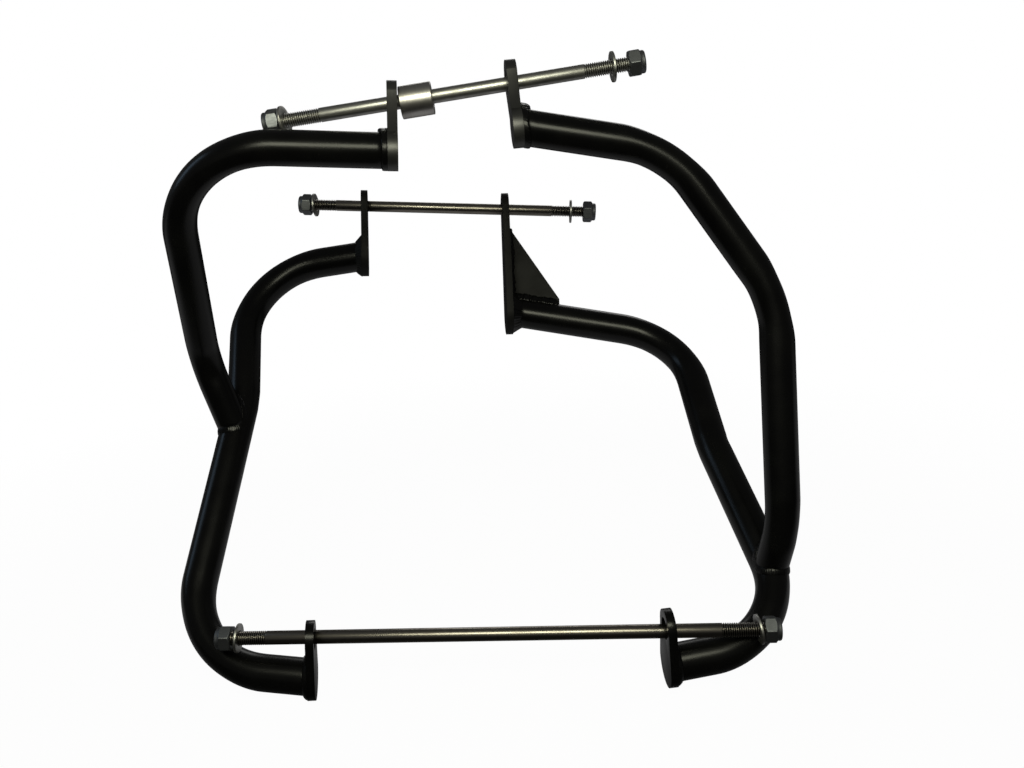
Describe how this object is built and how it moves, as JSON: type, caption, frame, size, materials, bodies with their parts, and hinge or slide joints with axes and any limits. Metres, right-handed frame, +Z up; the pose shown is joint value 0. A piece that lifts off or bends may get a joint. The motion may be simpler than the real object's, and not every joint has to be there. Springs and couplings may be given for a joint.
{
  "type": "motorcycle crash bars",
  "caption": "Black bent-tube motorcycle crash bars with coped, welded upper tubes, flat mounting tabs and through studs with washers and lock nuts.",
  "frame": {"origin": "middle of the lower stud, halfway between the inner faces of the lower tabs", "axes": "+X along the lower stud to the right-hand half, +Y into the engine's side of the bars and away from the open front, +Z up"},
  "size_m": [0.4731, 0.3187, 0.4437],
  "materials": {
    "black_coat": "satin black powder coat",
    "zinc_plate": "bright zinc plate, slightly dulled",
    "bare_steel": "drawn bar, dark and faintly brown",
    "machined_steel": "turned, satin",
    "nylon": "matt nylon ring"
  },
  "bodies": {
    "root": {"left_branch_weld": "black_coat", "left_lower_tab": "black_coat", "left_lower_weld": "black_coat", "left_main_tube": "black_coat", "left_middle_tab": "black_coat", "left_middle_weld": "black_coat", "left_top_tab": "black_coat", "left_top_weld": "black_coat", "left_upper_tube": "black_coat", "lower_left_nut": "zinc_plate", "lower_left_nut_insert": "nylon", "lower_left_washer": "zinc_plate", "lower_right_nut": "zinc_plate", "lower_right_nut_insert": "nylon", "lower_right_washer": "zinc_plate", "lower_stud": "bare_steel", "middle_left_nut": "zinc_plate", "middle_left_nut_insert": "nylon", "middle_left_washer": "zinc_plate", "middle_right_nut": "zinc_plate", "middle_right_nut_insert": "nylon", "middle_right_washer": "zinc_plate", "middle_stud": "bare_steel", "right_branch_weld": "black_coat", "right_gusset_tab_weld": "black_coat", "right_gusset_tube_weld": "black_coat", "right_lower_tab": "black_coat", "right_lower_weld": "black_coat", "right_main_tube": "black_coat", "right_middle_gusset": "black_coat", "right_middle_tab": "black_coat", "right_middle_weld": "black_coat", "right_top_tab": "black_coat", "right_top_weld": "black_coat", "right_upper_tube": "black_coat", "top_left_nut": "zinc_plate", "top_left_nut_insert": "nylon", "top_left_washer": "zinc_plate", "top_right_nut": "zinc_plate", "top_right_nut_insert": "nylon", "top_right_washer": "zinc_plate", "top_spacer": "machined_steel", "top_stud": "zinc_plate"}
  },
  "joints": []
}
